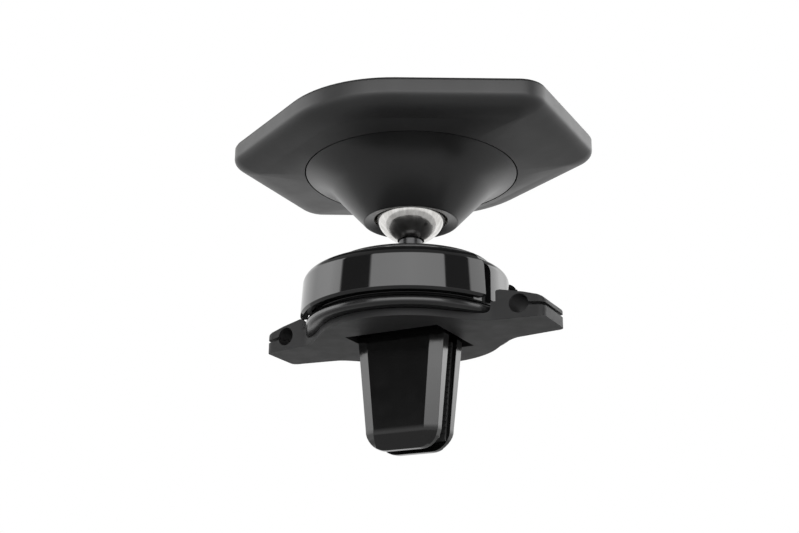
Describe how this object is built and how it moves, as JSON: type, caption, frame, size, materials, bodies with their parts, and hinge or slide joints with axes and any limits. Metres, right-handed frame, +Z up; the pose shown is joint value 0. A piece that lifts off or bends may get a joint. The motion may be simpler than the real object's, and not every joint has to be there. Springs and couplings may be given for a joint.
{
  "type": "magnetic phone mount for an air vent",
  "caption": "Magnetic car phone mount: a twist-locked vent clip with side cable wings, a chrome ball joint and a wide bevelled hexagonal plate.",
  "frame": {"origin": "root of the slot between the two jaws, on the axis, level with the underside of the base body", "axes": "+Z up the ball stud to the plate's face, +X along the two clip wings and the plate's long axis, +Y from the front jaw to the rear jaw"},
  "size_m": [0.064, 0.0572, 0.0596],
  "materials": {
    "base_black": "satin moulded black plastic",
    "cone_black": "satin black plastic, lightly glossy",
    "plate_grey": "dark grey plastic with a soft sheen",
    "ring_black": "polished piano-black plastic",
    "jaw_black": "polished black plastic",
    "cap_black": "satin black plastic",
    "rubber": "matt black rubber",
    "nylon": "natural off-white nylon",
    "chrome": "polished chrome plate",
    "dark_steel": "black-oxide steel",
    "steel": "zinc-plated steel",
    "spring_steel": "spring steel wire",
    "nickel": "nickel-plated magnets"
  },
  "bodies": {
    "base": {"base_body": "base_black", "bearing_ring": "ring_black", "cap": "cap_black", "cap_screw_left": "dark_steel", "cap_screw_right": "dark_steel", "ball_stud": "dark_steel", "stud_nut": "steel", "release_spring": "spring_steel"},
    "lock_ring": {"lock_ring": "ring_black", "cam_sleeve": "nylon"},
    "carriage": {"carriage": "nylon", "front_drive_pin": "steel", "rear_drive_pin": "steel", "front_hinge_pin": "steel", "rear_hinge_pin": "steel", "front_jaw_spring": "spring_steel", "rear_jaw_spring": "spring_steel"},
    "front_jaw": {"front_jaw": "jaw_black", "front_jaw_pad": "rubber"},
    "rear_jaw": {"rear_jaw": "jaw_black", "rear_jaw_pad": "rubber"},
    "ball": {"ball": "chrome"},
    "pressure_cup": {"pressure_cup": "nylon"},
    "head": {"lower_liner": "nylon", "upper_liner": "nylon", "disc_spring": "spring_steel", "socket_cone": "cone_black", "plate_shell": "plate_grey", "plate_screw_1": "steel", "plate_screw_2": "steel", "plate_screw_3": "steel", "yoke_plate": "steel", "magnet_tray": "cone_black", "magnet_1": "nickel", "magnet_2": "nickel", "magnet_3": "nickel", "magnet_4": "nickel", "magnet_5": "nickel", "magnet_6": "nickel", "face_pad": "rubber"}
  },
  "joints": [
    {"name": "lock_ring_turn", "type": "hinge", "parent": "base", "child": "lock_ring", "pos_m": [0, 0, 0.008], "axis": [0, 0, 1], "range_deg": [0, 120]},
    {"name": "carriage_slide", "type": "slide", "parent": "base", "child": "carriage", "axis": [0, 0, 1], "range_m": [-0.0024, 0]},
    {"name": "front_jaw_swing", "type": "hinge", "parent": "carriage", "child": "front_jaw", "pos_m": [0, -0.0032, 0.0049], "axis": [-1, 0, 0], "range_deg": [0, 7.1]},
    {"name": "rear_jaw_swing", "type": "hinge", "parent": "carriage", "child": "rear_jaw", "pos_m": [0, 0.0032, 0.0049], "axis": [1, 0, 0], "range_deg": [0, 7.1]},
    {"name": "head_swivel", "type": "hinge", "parent": "base", "child": "ball", "pos_m": [0, 0, 0.0259], "axis": [0, 0, 1], "continuous": true},
    {"name": "head_tilt_x", "type": "hinge", "parent": "ball", "child": "pressure_cup", "pos_m": [0, 0, 0.0259], "axis": [1, 0, 0], "range_deg": [-30, 30]},
    {"name": "head_tilt_y", "type": "hinge", "parent": "pressure_cup", "child": "head", "pos_m": [0, 0, 0.0259], "axis": [0, 1, 0], "range_deg": [-30, 30]}
  ],
  "couplings": [
    {"joint": "carriage_slide", "follows": "lock_ring_turn", "m_per_rad": -0.001145},
    {"joint": "front_jaw_swing", "follows": "lock_ring_turn", "ratio": 0.0583},
    {"joint": "rear_jaw_swing", "follows": "lock_ring_turn", "ratio": 0.0583}
  ]
}
